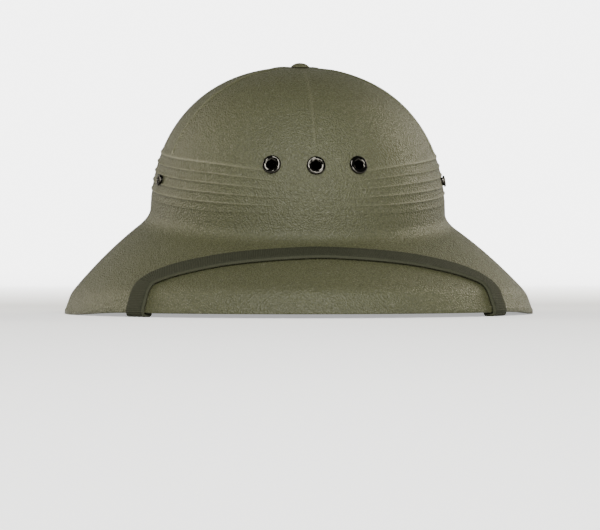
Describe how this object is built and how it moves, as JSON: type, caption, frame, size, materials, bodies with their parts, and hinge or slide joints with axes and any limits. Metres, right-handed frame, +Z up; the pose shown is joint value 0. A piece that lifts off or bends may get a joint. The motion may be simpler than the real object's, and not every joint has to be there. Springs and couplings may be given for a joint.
{
  "type": "pith helmet",
  "caption": "Moulded sun helmet with a pleated crown, sloping oval brim, vent eyelets, a stowed chin strap and an inner headband.",
  "frame": {"origin": "on the floor below the middle of the oval rim, as the helmet rests on its rim", "axes": "-Y out of the front of the helmet, +X towards the left of someone who wears it, +Z up"},
  "size_m": [0.3096, 0.348, 0.1662],
  "materials": {
    "olive_shell": "moulded olive drab plastic with a fine leather-like grain, satin",
    "dark_metal": "blackened metal, polished",
    "strap_web": "dark olive ribbed strap, matt",
    "black_band": "black imitation leather, matt"
  },
  "bodies": {
    "root": {"shell": "olive_shell", "top_button": "olive_shell", "eyelet_front_left": "dark_metal", "eyelet_front_middle": "dark_metal", "eyelet_front_right": "dark_metal", "eyelet_side_left": "dark_metal", "eyelet_side_right": "dark_metal", "chin_strap": "strap_web", "strap_loop_left": "dark_metal", "strap_loop_right": "dark_metal", "headband": "black_band", "hanger_front_left": "black_band", "hanger_front_right": "black_band", "hanger_back_left": "black_band", "hanger_back_right": "black_band"}
  },
  "joints": []
}
